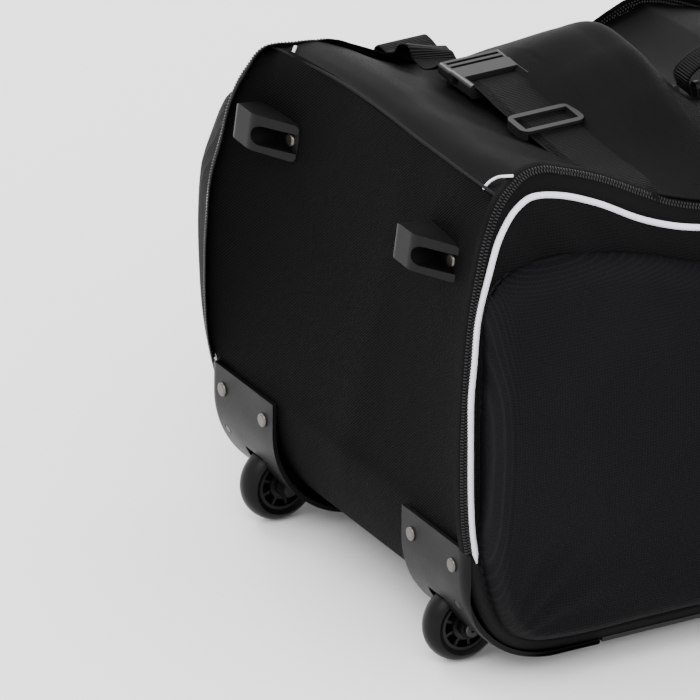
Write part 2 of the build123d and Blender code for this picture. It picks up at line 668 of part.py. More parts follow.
def build_flap(name, side):
    """One side flap with its pocket, piping and zippers."""
    save(f"flap_panel_{name}", side(flap_panel()))
    save(f"flap_piping_{name}", side(flap_piping()))
    save(f"pocket_{name}", side(pocket()))
    save(f"pocket_zipper_{name}", side(pocket_zipper()))
    save(f"pocket_slider_{name}", side(pocket_slider()))
    save(f"flap_zipper_{name}", side(flap_zipper()))
    save(f"zip_slider_{name}", side(zip_slider()))
    save(f"zip_pull_{name}", side(zip_pull()))


def build_strap(name, x):
    """One compression strap with its buckle and slider."""
    save(f"strap_near_{name}", strap_near(x))
    save(f"strap_far_{name}", strap_far(x))
    save(f"buckle_socket_{name}", buckle_socket(x))
    save(f"buckle_plug_{name}", buckle_plug(x))
    save(f"strap_slider_{name}", strap_slider(x))


def build_fasteners():
    """Rivets, screws, axle bolts and nuts, each kind in one node."""
    rivets = []
    for y in RIVETS_Y:
        place = Pos(-END, -y, RIVET_Z) * Rot(0, -90, 0)
        rivets += [place * rivet(RIVET_GRIP), far(place * rivet(RIVET_GRIP))]
    for index in (0, 1):
        rivets.append(foot_place(index) * (Pos(RIVET_IN_FOOT, 0, 4) * rivet(RIVET_GRIP - 2.8)))
    for y in GRAB_Y:
        rivets.append(Pos(END - HANDLE_END_D + 4, y, GRAB_Z) * Rot(0, 90, 0) * rivet(GRAB_GRIP))
    save("rivets", *rivets)
    screws = [screw_seat() * screw(), far(screw_seat() * screw())]
    for x in RAIL_SCREWS:
        place = Pos(x, -RAIL_Y, 3.7) * Rot(180, 0, 0)
        screws += [place * screw(), far(place * screw())]
    save("screws", *screws)
    save("axle_bolts", axle(), far(axle()))
    save("axle_nuts", axle_nut(), far(axle_nut()))


def build_handle():
    """Telescopic handle in the base."""
    save("handle_outer_tubes", *stage_tubes(0))
    save("handle_middle_tubes", *stage_tubes(1))
    save("handle_inner_tubes", *stage_tubes(2))
    save("handle_bracket", tube_bracket())
    save("handle_bezel", bezel())
    save("handle_grip", grip())
    save("handle_button", button())
    save("handle_tunnel_cover", tunnel_cover())


def build_body():
    """Base, ends and top of the bag, with the feet and carrying handles."""
    board = base_outline(BASE_Z + 2, BASE_Z + 6, BODY_HALF - 2)
    skin = base_outline(BASE_Z, BASE_Z + 2, BODY_HALF)
    bores = [rod((x, y, BASE_Z), 2, 40, "Z") for x in RAIL_SCREWS for y in (-RAIL_Y, RAIL_Y)]
    for bore in bores:
        board -= bore
        skin -= bore
    save("base_board", board)
    save("base_panel", skin)
    save("wheel_end_panel", wheel_end_layer(0, FABRIC, BODY_HALF))
    stiffener = wheel_end_layer(FABRIC + 1, FABRIC + 3, BOARD_HALF)
    for z in ((0, 60), (425, TOP_Z)):
        stiffener -= block((-END, 0), (-BODY_HALF, BODY_HALF), z)
    save("wheel_end_board", stiffener)
    save("handle_end_panel", handle_end_panel())
    save("handle_end_board", handle_end_board())
    save("top_panel", top_panel())
    save("stand_foot_near", foot_place(0) * foot())
    save("stand_foot_far", foot_place(1) * foot())
    save("skid_rail_near", skid_rail())
    save("skid_rail_far", far(skid_rail()))
    save("handle_anchors", haul_anchor(-HAUL_HALF), haul_anchor(HAUL_HALF),
         *[grab_anchor(y) for y in GRAB_Y])
    save("haul_handle", haul_handle())
    save("grab_handle", grab_handle())


for name, side in (("near", lambda piece: piece), ("far", far)):
    build_wheels(name, side)
    build_flap(name, side)
for name, x in zip(("front", "rear"), STRAP_X):
    build_strap(name, x)
build_fasteners()
build_handle()
build_body()
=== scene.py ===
"""Looks of the rolling duffel bag.

Lengths in the tables are millimetres. d is the distance in from the end plane of the bag, side is -1 on
the near side and 1 on the far side, and every piece is built in the frame of the CAD.
"""
import json
import math

import bpy
import numpy as np
from mathutils import Matrix, Vector


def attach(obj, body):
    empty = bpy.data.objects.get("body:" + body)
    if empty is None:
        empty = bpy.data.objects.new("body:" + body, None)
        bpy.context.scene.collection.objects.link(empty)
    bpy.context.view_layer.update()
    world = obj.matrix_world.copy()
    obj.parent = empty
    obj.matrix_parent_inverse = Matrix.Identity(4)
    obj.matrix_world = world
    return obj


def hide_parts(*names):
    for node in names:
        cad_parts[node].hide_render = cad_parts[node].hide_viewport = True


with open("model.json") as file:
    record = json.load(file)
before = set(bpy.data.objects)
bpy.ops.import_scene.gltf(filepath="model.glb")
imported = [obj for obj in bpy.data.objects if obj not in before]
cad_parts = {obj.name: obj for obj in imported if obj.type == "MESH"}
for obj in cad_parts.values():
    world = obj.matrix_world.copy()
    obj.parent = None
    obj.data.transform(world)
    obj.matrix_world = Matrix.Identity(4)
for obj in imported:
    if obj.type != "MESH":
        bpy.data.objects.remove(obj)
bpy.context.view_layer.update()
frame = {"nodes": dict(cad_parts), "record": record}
MM = 0.001
END = 426.5               # end plane, from the middle of the bag
STRAP_X = END - 179       # lash straps' middle
HAUL_Z = 407.4            # pivots of the top handle
POCKET_ZIP_Z = 322
POCKET_ZIP_HALF = 181     # half its length
PIVOT_Z = 150             # height that the rolled edge curls round
ROLL_R = 9                # radius of the rolled edge
SNAP = 4                  # spacing of the points on a loop panel's inmost line


# Curves and meshes

def spline(stations, values, at):
    """Smooth curve through the values at the stations, flat where the values turn."""
    x = np.asarray(stations, float)
    y = np.asarray(values, float)
    if y.ndim > 1:
        return np.stack([spline(x, y[:, k], at) for k in range(y.shape[1])], -1)
    step = np.diff(x)
    slope = np.diff(y) / step
    tangent = np.concatenate([[slope[0]], (slope[1:] + slope[:-1]) / 2, [slope[-1]]])
    turn = np.concatenate([[False], slope[1:] * slope[:-1] <= 0, [False]])
    tangent[turn] *= 0.35
    at = np.clip(np.asarray(at, float), x[0], x[-1])
    i = np.clip(np.searchsorted(x, at, side="right") - 1, 0, len(step) - 1)
    t = (at - x[i]) / step[i]
    a = y[i] * (1 + 2 * t) * (1 - t) ** 2 + tangent[i] * step[i] * t * (1 - t) ** 2
    return a + y[i + 1] * t * t * (3 - 2 * t) - tangent[i + 1] * step[i] * t * t * (1 - t)


def lengths(path):
    """Distance along a path to each of its points."""
    return np.concatenate([[0], np.cumsum(np.linalg.norm(np.diff(path, axis=0), axis=1))])


def path_through(points, count):
    """Points evenly spaced along a smooth line through the given ones."""
    points = np.asarray(points, float)
    along = lengths(points[:, :3])
    fine = spline(along, points, np.linspace(0, along[-1], count * 6))
    real = lengths(fine[:, :3])
    even = np.linspace(0, real[-1], count)
    return np.stack([np.interp(even, real, fine[:, k]) for k in range(points.shape[1])], -1)


def unit(v):
    return v / np.maximum(np.linalg.norm(v, axis=-1, keepdims=True), 1e-9)


def mesh(name, verts, faces, finish, uv=None):
    """One smooth mesh piece from points in millimetres. Faces may have different numbers of corners."""
    data = bpy.data.meshes.new(name)
    data.from_pydata((np.asarray(verts) * MM).tolist(), [], [[int(k) for k in face] for face in faces])
    if uv is not None:
        layer = data.uv_layers.new(name="weave")
        index = np.zeros(len(data.loops), int)
        data.loops.foreach_get("vertex_index", index)
        layer.data.foreach_set("uv", (np.asarray(uv) * MM)[index].ravel())
    data.polygons.foreach_set("use_smooth", [True] * len(data.polygons))
    data.materials.append(finish)
    piece = bpy.data.objects.new(name, data)
    bpy.context.scene.collection.objects.link(piece)
    return piece


def cells(rows, columns, around=False):
    """Quads of a grid of points, joined round in the column direction if asked."""
    last = columns if around else columns - 1
    i, j = np.meshgrid(np.arange(rows - 1), np.arange(last), indexing="ij")
    k = (j + 1) % columns
    quads = np.stack([i * columns + j, i * columns + k, (i + 1) * columns + k, (i + 1) * columns + j], -1)
    return quads.reshape(-1, 4)


def arc_uv(points):
    """Flat cloth coordinates of a grid, measured along its rows and columns."""
    across = np.linalg.norm(np.diff(points, axis=1), axis=2)
    up = np.linalg.norm(np.diff(points, axis=0), axis=2)
    u = np.concatenate([np.zeros((len(points), 1)), np.cumsum(across, 1)], 1)
    u -= u[:, [points.shape[1] // 2]]
    v = np.concatenate([np.zeros((1, points.shape[1])), np.cumsum(up, 0)], 0)
    return np.stack([u, v], -1)


def panel(name, points, finish, thick=1.6, outward=1, uv=None, keep=None, loop=False):
    """Cloth panel with both faces and its rim, from a grid of points on the outer face.

    A loop panel has its last column on its first and its first row drawn in to a line.
    """
    rows, columns = points.shape[:2]
    du = np.gradient(points, axis=1)
    dv = np.gradient(points, axis=0)
    normal = unit(np.cross(du, dv)) * outward
    lost = np.linalg.norm(normal, axis=-1) < 0.5
    normal[lost] = unit(normal[~lost].mean(0))
    inner = points - normal * thick
    uv = arc_uv(points) if uv is None else uv
    quads = cells(rows, columns)
    if keep is not None:
        centre = points.reshape(-1, 3)[quads].mean(1)
        quads = quads[keep(centre)]
    count = rows * columns
    if loop:
        quads = np.where(quads % columns == columns - 1, quads - columns + 1, quads)
        _, first, back = np.unique(np.round(points[0, :, 0] / SNAP), return_index=True, return_inverse=True)
        joined = first[back.ravel()]
        quads = np.where(quads < columns, joined[np.minimum(quads, columns - 1)], quads)
    if outward < 0:
        quads = quads[:, ::-1]
    edges = np.concatenate([quads[:, [k, (k + 1) % 4]] for k in range(4)])
    edges = edges[edges[:, 0] != edges[:, 1]]
    key = np.sort(edges, 1)
    _, first, number = np.unique(key, axis=0, return_index=True, return_counts=True)
    rim = edges[first[number == 1]]
    wall = np.stack([rim[:, 1], rim[:, 0], rim[:, 0] + count, rim[:, 1] + count], -1)
    faces = np.concatenate([quads, quads[:, ::-1] + count, wall])
    if loop:
        faces = [list(dict.fromkeys(face)) for face in faces.tolist()]
    verts = np.concatenate([points.reshape(-1, 3), inner.reshape(-1, 3)])
    return mesh(name, verts, faces, finish, np.concatenate([uv.reshape(-1, 2)] * 2))


def frames(path, lift):
    """Tangent, side and lift directions along a path."""
    tangent = unit(np.gradient(path, axis=0))
    side = unit(np.cross(tangent, lift))
    return tangent, side, unit(np.cross(side, tangent))


def sweep(name, path, lift, section, finish, scale=None):
    """Closed section of (side, lift) points carried along a path, with closed ends.

    scale is the section's size at each point of the path.
    """
    section = np.asarray(section, float)
    _, side, up = frames(path, np.broadcast_to(lift, path.shape))
    size = np.ones(len(path)) if scale is None else scale
    ring = (path[:, None] + side[:, None] * section[None, :, :1] * size[:, None, None]
            + up[:, None] * section[None, :, 1:] * size[:, None, None])
    n = len(section)
    faces = [list(q) for q in cells(len(path), n, True)]
    faces += [list(range(n))[::-1], list(range((len(path) - 1) * n, len(path) * n))]
    uv = np.stack(np.broadcast_arrays(lengths(section)[None, :], lengths(path)[:, None]), -1)
    return mesh(name, ring.reshape(-1, 3), faces, finish, uv.reshape(-1, 2))


def circle(radius, count=12, flat=1.0):
    turn = np.arange(count) * 2 * math.pi / count
    return np.stack([radius * np.cos(turn), radius * flat * np.sin(turn)], -1)


def strip_section(width, thick, corners=5):
    """Flat webbing section with round edges."""
    half, r = width / 2, thick / 2
    turn = np.linspace(-math.pi / 2, math.pi / 2, corners)
    right = np.stack([half - r + r * np.cos(turn), r * np.sin(turn)], -1)
    flat = np.linspace(half - r, r - half, 7)[1:-1]
    top = np.stack([flat, np.full(5, r)], -1)
    return np.concatenate([right, top, -right, -top])


def add(piece, body, node=None):
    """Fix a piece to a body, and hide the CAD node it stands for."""
    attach(piece, body)
    if node:
        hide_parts(node)


# Materials

class Finish:
    """A procedural material, built up node by node."""

    def __init__(self, name, colour, rough, specular=0.4, metal=0.0):
        self.mat = bpy.data.materials.new(name)
        self.mat.use_nodes = True
        self.nodes = self.mat.node_tree.nodes
        self.bsdf = self.nodes["Principled BSDF"]
        self.bsdf.inputs["Base Color"].default_value = (*colour, 1)
        self.bsdf.inputs["Roughness"].default_value = rough
        self.bsdf.inputs["Specular IOR Level"].default_value = specular
        self.bsdf.inputs["Metallic"].default_value = metal
        self.colour = colour

    def node(self, kind, settings=None, **values):
        new = self.nodes.new(kind)
        for key, value in (settings or {}).items():
            setattr(new, key, value)
        for key, value in values.items():
            socket = new.inputs[int(key[1:])]
            if isinstance(value, bpy.types.NodeSocket):
                self.mat.node_tree.links.new(value, socket)
            else:
                socket.default_value = value
        return new

    def maths(self, operation, a, b=0.0):
        return self.node("ShaderNodeMath", {"operation": operation}, i0=a, i1=b).outputs[0]

    def noise(self, scale, detail=3.0, coords="Object"):
        where = self.node("ShaderNodeTexCoord").outputs[coords]
        return self.node("ShaderNodeTexNoise", None, i0=where, i2=scale, i3=detail).outputs[0]

    def tint(self, factor, low, high):
        """Colour between two shades of the base, by the factor."""
        shade = self.node("ShaderNodeMix", {"data_type": "RGBA"}, i0=factor)
        shade.inputs[6].default_value = (*[c * low for c in self.colour], 1)
        shade.inputs[7].default_value = (*[c * high for c in self.colour], 1)
        self.mat.node_tree.links.new(shade.outputs[2], self.bsdf.inputs["Base Color"])

    def bump(self, height, distance, strength=1.0):
        last = self.bsdf.inputs["Normal"].links
        new = self.node("ShaderNodeBump", None)
        new.inputs["Strength"].default_value = strength
        new.inputs["Distance"].default_value = distance
        self.mat.node_tree.links.new(height, new.inputs["Height"])
        if last:
            self.mat.node_tree.links.new(last[0].from_socket, new.inputs["Normal"])
        self.mat.node_tree.links.new(new.outputs[0], self.bsdf.inputs["Normal"])

    def rough(self, factor, low, high):
        span = self.node("ShaderNodeMapRange", None, i0=factor, i3=low, i4=high)
        self.mat.node_tree.links.new(span.outputs[0], self.bsdf.inputs["Roughness"])

    def uv(self):
        where = self.node("ShaderNodeTexCoord").outputs["UV"]
        parts = self.node("ShaderNodeSeparateXYZ", None, i0=where).outputs
        return parts[0], parts[1]

    def wave(self, line, pitch):
        """Sine of a length, one period for each pitch in metres."""
        return self.maths("SINE", self.maths("MULTIPLY", line, 2 * math.pi / pitch))


def cloth(name, colour, rough, pattern, pitch, depth, specular=0.06):
    """Woven cloth: twill ribs, a rip-stop grid, or a plain weave, with uneven colour and its raised threads
    painted lighter as a painted highlight.
    """
    f = Finish(name, colour, rough, specular)
    u, v = f.uv()
    if pattern == "twill":
        weave = f.wave(f.maths("ADD", u, v), pitch)
        cross = f.wave(f.maths("SUBTRACT", u, v), pitch * 0.62)
        height = f.maths("ADD", weave, f.maths("MULTIPLY", cross, 0.35))
    elif pattern == "grid":
        a, b = f.wave(u, pitch), f.wave(v, pitch)
        height = f.maths("MAXIMUM", f.maths("POWER", f.maths("ABSOLUTE", a), 6.0),
                         f.maths("POWER", f.maths("ABSOLUTE", b), 6.0))
    elif pattern == "ribs":
        height = f.maths("ADD", f.wave(v, pitch), f.maths("MULTIPLY", f.wave(u, pitch * 0.8), 0.3))
    else:
        height = f.maths("MULTIPLY", f.wave(u, pitch), f.wave(v, pitch))
    patch = f.noise(9.0)
    fine = f.noise(420.0, 2.0)
    # Uneven tone from the patches, plus a painted highlight: the raised threads of the weave are painted
    # lighter.
    tone_and_thread_highlight = f.maths("ADD", f.maths("MULTIPLY", patch, 0.45), f.maths("MULTIPLY", height, 0.4))
    # Grid and twill get the wider range, for stronger painted thread highlights.
    bright = 2.6 if pattern in ("grid", "twill") else 1.5
    f.tint(f.maths("ADD", tone_and_thread_highlight, f.maths("MULTIPLY", fine, 0.2)), 0.5, bright)
    f.rough(patch, rough - 0.06, rough + 0.08)
    f.bump(height, depth)
    f.bump(fine, depth * 0.5, 0.5)
    f.bump(f.noise(14.0, 1.0), 0.0012, 0.3)
    return f.mat


def plastic(name, colour, rough, grain=900.0, depth=0.00012, wear=1.9, specular=0.2):
    """Moulded plastic with a fine grain, dull patches and paler worn edges."""
    f = Finish(name, colour, rough, specular)
    edge = f.node("ShaderNodeNewGeometry").outputs["Pointiness"]
    worn = f.node("ShaderNodeMapRange", None, i0=edge, i1=0.5, i2=0.58).outputs[0]
    patch = f.noise(30.0, 4.0)
    f.tint(f.maths("ADD", f.maths("MULTIPLY", worn, 0.55), f.maths("MULTIPLY", patch, 0.4)), 0.75, wear)
    f.rough(patch, rough - 0.08, rough + 0.12)
    f.bump(f.noise(grain, 2.0), depth)
    return f.mat


def metal(name, colour, rough, brushed=0.0):
    """Bare metal, with fine scratches and duller patches."""
    f = Finish(name, colour, rough, 0.5, 1.0)
    patch = f.noise(60.0, 5.0)
    f.tint(patch, 0.7, 1.15)
    f.rough(patch, rough - 0.08, rough + 0.14)
    f.bump(f.noise(1400.0 if brushed == 0 else brushed, 2.0), 0.00005, 0.6)
    return f.mat


SHELL = cloth("shell_twill", (0.0018, 0.0017, 0.0019), 0.66, "twill", 0.0032, 0.00026, 0.026)
TOP = cloth("top_cloth", (0.0016, 0.0015, 0.0017), 0.50, "plain", 0.0016, 0.00018, 0.034)
SIDE = cloth("side_ripstop", (0.0021, 0.0021, 0.0023), 0.55, "grid", 0.0054, 0.0004, 0.03)
POCKET = cloth("pocket_ripstop", (0.0027, 0.0027, 0.0031), 0.52, "grid", 0.0054, 0.00045, 0.03)
TAPE = cloth("zip_tape", (0.0024, 0.0024, 0.0026), 0.62, "plain", 0.0012, 0.00015)
WEBBING = cloth("webbing", (0.0020, 0.0020, 0.0022), 0.50, "ribs", 0.0024, 0.0005)
# Cloth of the rolled edge: the side cloth made much lighter, a painted highlight for the light the rolled
# band catches.
ROLL_PAINTED_LIGHT = cloth("roll_cloth_painted_light", (0.0052, 0.0050, 0.0055), 0.5, "plain", 0.0016, 0.00018, 0.08)
WELT = cloth("welt", (0.0060, 0.0057, 0.0063), 0.55, "ribs", 0.002, 0.0002)
PIPING = cloth("piping_white", (0.78, 0.79, 0.84), 0.42, "plain", 0.0014, 0.00008)
THREAD = cloth("thread", (0.0060, 0.0060, 0.0066), 0.5, "ribs", 0.0008, 0.0001)
HOUSING = plastic("housing_plastic", (0.0016, 0.0015, 0.0016), 0.40, 1100.0, 0.00022, 1.9, 0.11)
FOOT = plastic("foot_plastic", (0.0026, 0.0025, 0.0026), 0.36, 900.0, 0.00012, 1.9, 0.13)
BUCKLE = plastic("buckle_plastic", (0.0058, 0.0054, 0.0053), 0.28, 900.0, 0.00006)
BOARD = plastic("board", (0.0105, 0.0105, 0.0105), 0.7, 300.0, 0.0003)
GRIP = plastic("grip_rubber", (0.0042, 0.0042, 0.0042), 0.6, 500.0, 0.0002)
RUBBER = plastic("wheel_rubber", (0.0016, 0.0016, 0.0016), 0.34, 700.0, 0.00012, 1.9, 0.12)
HUB = plastic("hub_plastic", (0.0024, 0.0024, 0.0026), 0.30)
COIL = plastic("zip_coil", (0.0059, 0.0059, 0.0065), 0.30)
RIVET = metal("rivet_metal", (0.12, 0.11, 0.10), 0.30)
STEEL = metal("bolt_steel", (0.045, 0.044, 0.043), 0.34)
ZIP = metal("zip_metal", (0.10, 0.10, 0.105), 0.36)
ALUMINIUM = metal("tube_aluminium", (0.55, 0.56, 0.58), 0.30, 2400.0)

BY_SLOT = {
    "shell_fabric": TOP, "side_fabric": SIDE, "board": BOARD, "housing_plastic": HOUSING,
    "foot_plastic": FOOT, "rivet_metal": RIVET, "bolt_steel": STEEL, "tube_aluminium": ALUMINIUM,
    "grip_rubber": GRIP, "zip_tape": TAPE, "zip_metal": ZIP, "webbing": WEBBING,
    "buckle_plastic": BUCKLE, "piping_white": PIPING, "wheel_rubber": RUBBER, "hub_plastic": HUB,
}
for entry in frame["record"]["subparts"]:
    data = frame["nodes"][entry["node"]].data
    data.materials.clear()
    data.materials.append(RUBBER if "skid_rail" in entry["node"] else BY_SLOT[entry["material_slot"]])


# Shape of the bag

WALL = [(10, 214), (40, 219), (90, 222), (140, 223), (184, 225), (227, 225.4), (269, 225), (310, 223.7),
        (348, 217.9), (387, 214.8), (422, 207.4), (449, 199.3), (480, 192)]


def wall(z):
    """Half width of the bag at a height."""
    rows = np.array(WALL, float)
    return spline(rows[:, 0], rows[:, 1], z)


def far_drop(d, side):
    """How much lower the far top edge hangs than the near one."""
    if side < 0:
        return 0 * np.asarray(d, float)
    return np.interp(d, [20, 32, 45, 62, 80, 116, 152, 200, 262, 300, 330, 355, 375, 392, 408, END],
                     [0, 4, 13, 22, 28, 33, 38, 35, 36, 36, 33, 27, 19, 11, 4.5, 0.5])


END_ROWS = [  # centre d, z and edge d, z, half width
    (150, 12, 150, 16, 210), (122, 12, 108, 18, 214), (88, 17, 72, 25, 217), (58, 31, 46, 38, 219),
    (32, 54, 26, 60, 220), (14, 85, 12, 92, 220.5), (6, 118, 6, 122, 221), (5, 137, 5, 137, 221.5),
    (8, 152, -0.6, 146, 222.5), (12, 184, -2.9, 184, 224), (17, 227, -4.1, 227, 224.4),
    (22.4, 269, -3.1, 269, 224), (27.4, 310, -0.4, 310, 222.7), (32, 348, 6.2, 348, 217),
    (37, 387, 14.5, 387, 213.5), (42, 422, 27.9, 422, 206), (46, 450, 49, 450, 197.5)]
BACK_ROWS = [  # the same at the handle end
    (150, 12, 150, 16, 210), (90, 12, 80, 17, 214), (50, 12, 46, 28, 218), (28, 14, 22, 50, 219),
    (22, 22, 12, 76, 220), (22, 60, 5, 100, 221), (22, 137, 1, 137, 222), (22, 160, -0.6, 150, 222.5),
    (22, 184, -2.9, 184, 224), (22, 227, -4.1, 227, 224.4), (22, 269, -3.1, 269, 224),
    (22, 310, -0.4, 310, 222.7), (23, 348, 6.2, 348, 217), (30, 387, 14.5, 387, 213.5),
    (40, 422, 27.9, 422, 206), (46, 450, 49, 450, 197.5)]


def end_panel(rows, sign, count=(150, 170)):
    """Grid of points on an end panel: flat in the middle, bowed out at its zipped edges."""
    rows = np.array(rows, float)
    line = path_through(np.column_stack([rows[:, 0], rows[:, 1], 0 * rows[:, 0], rows[:, 2:]]), count[0])
    s = np.linspace(-1, 1, count[1])
    s = np.sign(s) * (1 - (1 - np.abs(s)) ** 1.25)
    w = np.abs(s) ** 4.5
    d = line[:, [0]] + (line[:, [3]] - line[:, [0]]) * w
    z = line[:, [1]] + (line[:, [4]] - line[:, [1]]) * w
    z -= np.where(s > 0, 1, 0) * far_drop(d, 1) * w * np.clip((z - 400) / 45, 0, 1)
    y = line[:, [5]] * s
    fold = 2.2 * np.exp(-((y + 18 + (z - 250) * 0.16) / 26) ** 2) * np.clip((z - 60) / 80, 0, 1)
    fold += 1.6 * np.sin(y / 23 + z / 61) * np.clip((z - 380) / 60, 0, 1)
    d = d - fold * (1 - w)
    return np.stack([sign * (END - d), y, z], -1)


CREST = [  # d, then the heights at y -200, -130, -60, 0, 60, 130, 200
    (47, 451, 450, 450, 451, 450, 444, 434), (75, 464, 459, 455, 453, 451, 445, 437),
    (101, 461, 453, 448, 445, 443, 438, 427), (142, 446, 437, 430, 427, 425, 415, 404),
    (178, 428, 423, 420, 421, 423, 405, 389), (205, 416, 422, 430, 438, 440, 412, 380),
    (230, 408, 424, 443, 454, 453, 420, 372), (262, 401, 424, 450, 463, 460, 418, 363),
    (290, 396, 420, 446, 461, 458, 412, 357), (312, 394, 408, 424, 436, 430, 394, 356),
    (340, 392, 398, 404, 406, 402, 382, 360), (375, 391, 394, 396, 396, 394, 386, 373),
    (END, 391, 393, 395, 395, 395, 393, 389)]


def top_height(x, y):
    """Height of the top panel."""
    rows = np.array(CREST, float)
    d = END - np.abs(x)
    across = np.array([-200, -130, -60, 0, 60, 130, 200], float)
    columns = spline(rows[:, 0], rows[:, 1:], d.ravel())
    out = np.array([spline(across, c, yy) for c, yy in zip(columns, y.ravel())])
    return out.reshape(np.shape(x))


ZIP_LINE = [  # d, z, distance from the centre plane
    (3, 134, 224), (-1.5, 160, 225.5), (-4, 205, 226.5), (-4.1, 240, 226.5), (-3.1, 269, 226),
    (-0.4, 310, 224.7), (6.2, 348, 219), (14.5, 387, 215.5), (27.9, 422, 207.5), (42, 446, 202),
    (58, 457, 195), (76, 464, 189), (92, 465, 188), (112, 459, 188), (152, 443, 190.5), (188, 424, 195),
    (215, 411, 200), (262, 398, 206), (300, 393, 209), (345, 391, 210.5), (END, 391, 210.5)]
PIPING_LINE = [  # d, z, from its foot up and along the top
    (10, 124), (4, 160), (1, 217), (1, 280), (7, 329), (15, 367), (26, 398), (38, 422), (56, 441),
    (75, 449), (101, 445), (135, 432), (178, 409), (215, 395), (262, 385), (300, 382), (345, 382), (END, 382)]
FOOT_LINE = [  # d, z, round the lower corner and along the bottom
    (15, 119), (21, 97), (30, 73), (40, 55), (54, 41), (71, 33), (92, 29), (120, 27.5), (200, 27),
    (END, 27)]
POCKET_LINE = [  # d, z, from the bottom at mid-length round to the top
    (END, 37), (171, 37), (88, 37.5), (60, 42), (40, 55), (28, 76), (19, 104), (13, 140), (11, 200),
    (11, 270), (15, 330), (19, 366), (27, 381), (45, 391), (69, 396), (94, 396), (132, 390), (170, 381),
    (240, 357), (330, 345), (END, 344)]


def both_ends(rows):
    """A line from the wheel end to mid-length, carried on to the handle end in mirror image."""
    rows = [tuple(r) for r in rows]
    left = [(r[0] - END, *r[1:]) for r in rows]
    right = [(END - r[0], *r[1:]) for r in rows[:-1]][::-1]
    return np.array(left + right, float)


def zip_path(side, count=900):
    """Centre of the zipper, with the direction it faces."""
    line = path_through(both_ends(ZIP_LINE), count)
    d = END - np.abs(line[:, 0])
    z = line[:, 1] - far_drop(d, side)
    y = line[:, 2]
    path = np.column_stack([line[:, 0], side * y, z])
    lean = np.clip((d - 20) / 45, 0, 1)
    lean = lean * lean * (3 - 2 * lean)
    level = lean * np.clip((np.abs(line[:, 0]) - 100) / 80, 0, 1)
    outward = np.column_stack([np.sign(line[:, 0]) * 0.8 * (1 - lean), side * (0.6 + 0.4 * (lean - level)),
                               0.05 + 0.8 * level])
    return path, unit(outward)


def piping_path(side, count=900):
    """Centre of the white piping."""
    line = path_through(both_ends(PIPING_LINE), count)
    d = END - np.abs(line[:, 0])
    z = line[:, 1] - far_drop(d, side)
    y = wall(line[:, 1]) + 3.5
    path = np.column_stack([line[:, 0], side * y, z])
    outward = np.column_stack([np.sign(line[:, 0]) * 0.25 * np.exp(-d / 30), np.full(len(d), side * 1.0),
                               0.1 + 0.3 * np.clip((d - 20) / 45, 0, 1)])
    return path, unit(outward)


def loop_line(rows, count=1000):
    """Closed outline on a side, from its rows for the wheel-end half, as (x, z)."""
    left = np.array([(d - END, z) for d, z in rows], float)
    right = np.array([(END - d, z) for d, z in rows[1:-1]], float)[::-1]
    loop = np.vstack([left, right, left[:1]])
    return path_through(loop, count + 1)[:-1]


def flap_line(side):
    """Outline of a side flap."""
    rows = FOOT_LINE[::-1] + [(d, z - float(far_drop(d, side))) for d, z in PIPING_LINE]
    return loop_line(rows)


def pocket_line(side):
    """Outline of the pocket on a side flap."""
    return loop_line([(d, z - 0.5 * float(far_drop(d, side)) * (z > 300)) for d, z in POCKET_LINE])


def reach(x, z, loop):
    """Distance from points on a side to an outline."""
    flat = np.column_stack([x.ravel(), z.ravel()])
    start = loop[::4]
    run = np.roll(start, -1, 0) - start
    out = []
    for part in np.array_split(flat, 60):
        gap = part[:, None] - start[None]
        t = np.clip((gap * run).sum(-1) / (run ** 2).sum(-1), 0, 1)
        out.append(np.sqrt(((gap - run * t[..., None]) ** 2).sum(-1).min(1)))
    return np.concatenate(out).reshape(x.shape)


def ruffle(x, z, size, seed):
    """Smooth uneven field of height about one."""
    own = np.random.default_rng(seed)
    total = 0
    for _ in range(7):
        turn, phase, scale = own.uniform(0, 6.28), own.uniform(0, 6.28), own.uniform(0.7, 1.6)
        total = total + np.sin((x * np.cos(turn) + z * np.sin(turn)) / (size * scale) + phase)
    return total / 3


def flap_out(x, z, side):
    """How far out the side flap stands."""
    edge = reach(x, z, flap_line(side))
    swell = 5 * (1 - np.exp(-edge / 35))
    upper = np.clip((z - 330) / 60, 0, 1)
    creases = 2.2 * np.sin(x / 9 + 2 * np.sin(z / 33)) * np.exp(-((np.abs(x) - 330) / 70) ** 2)
    return wall(z) + 1.5 + swell + upper * np.clip(edge / 15, 0, 1) * (creases + 0.8 * ruffle(x, z, 22, 3))


POCKET_TOP = [(0, 344), (96, 345), (186, 357), (256, 381), (295, 390), (330, 396), (426, 396)]  # x, z
POCKET_BULGE = [  # share of the pocket's height, share of its depth
    (0, 0.45), (0.08, 0.6), (0.22, 0.74), (0.31, 0.84), (0.44, 0.94), (0.58, 1.0), (0.71, 0.97),
    (0.83, 0.88), (0.94, 0.68), (1.05, 0.4)]


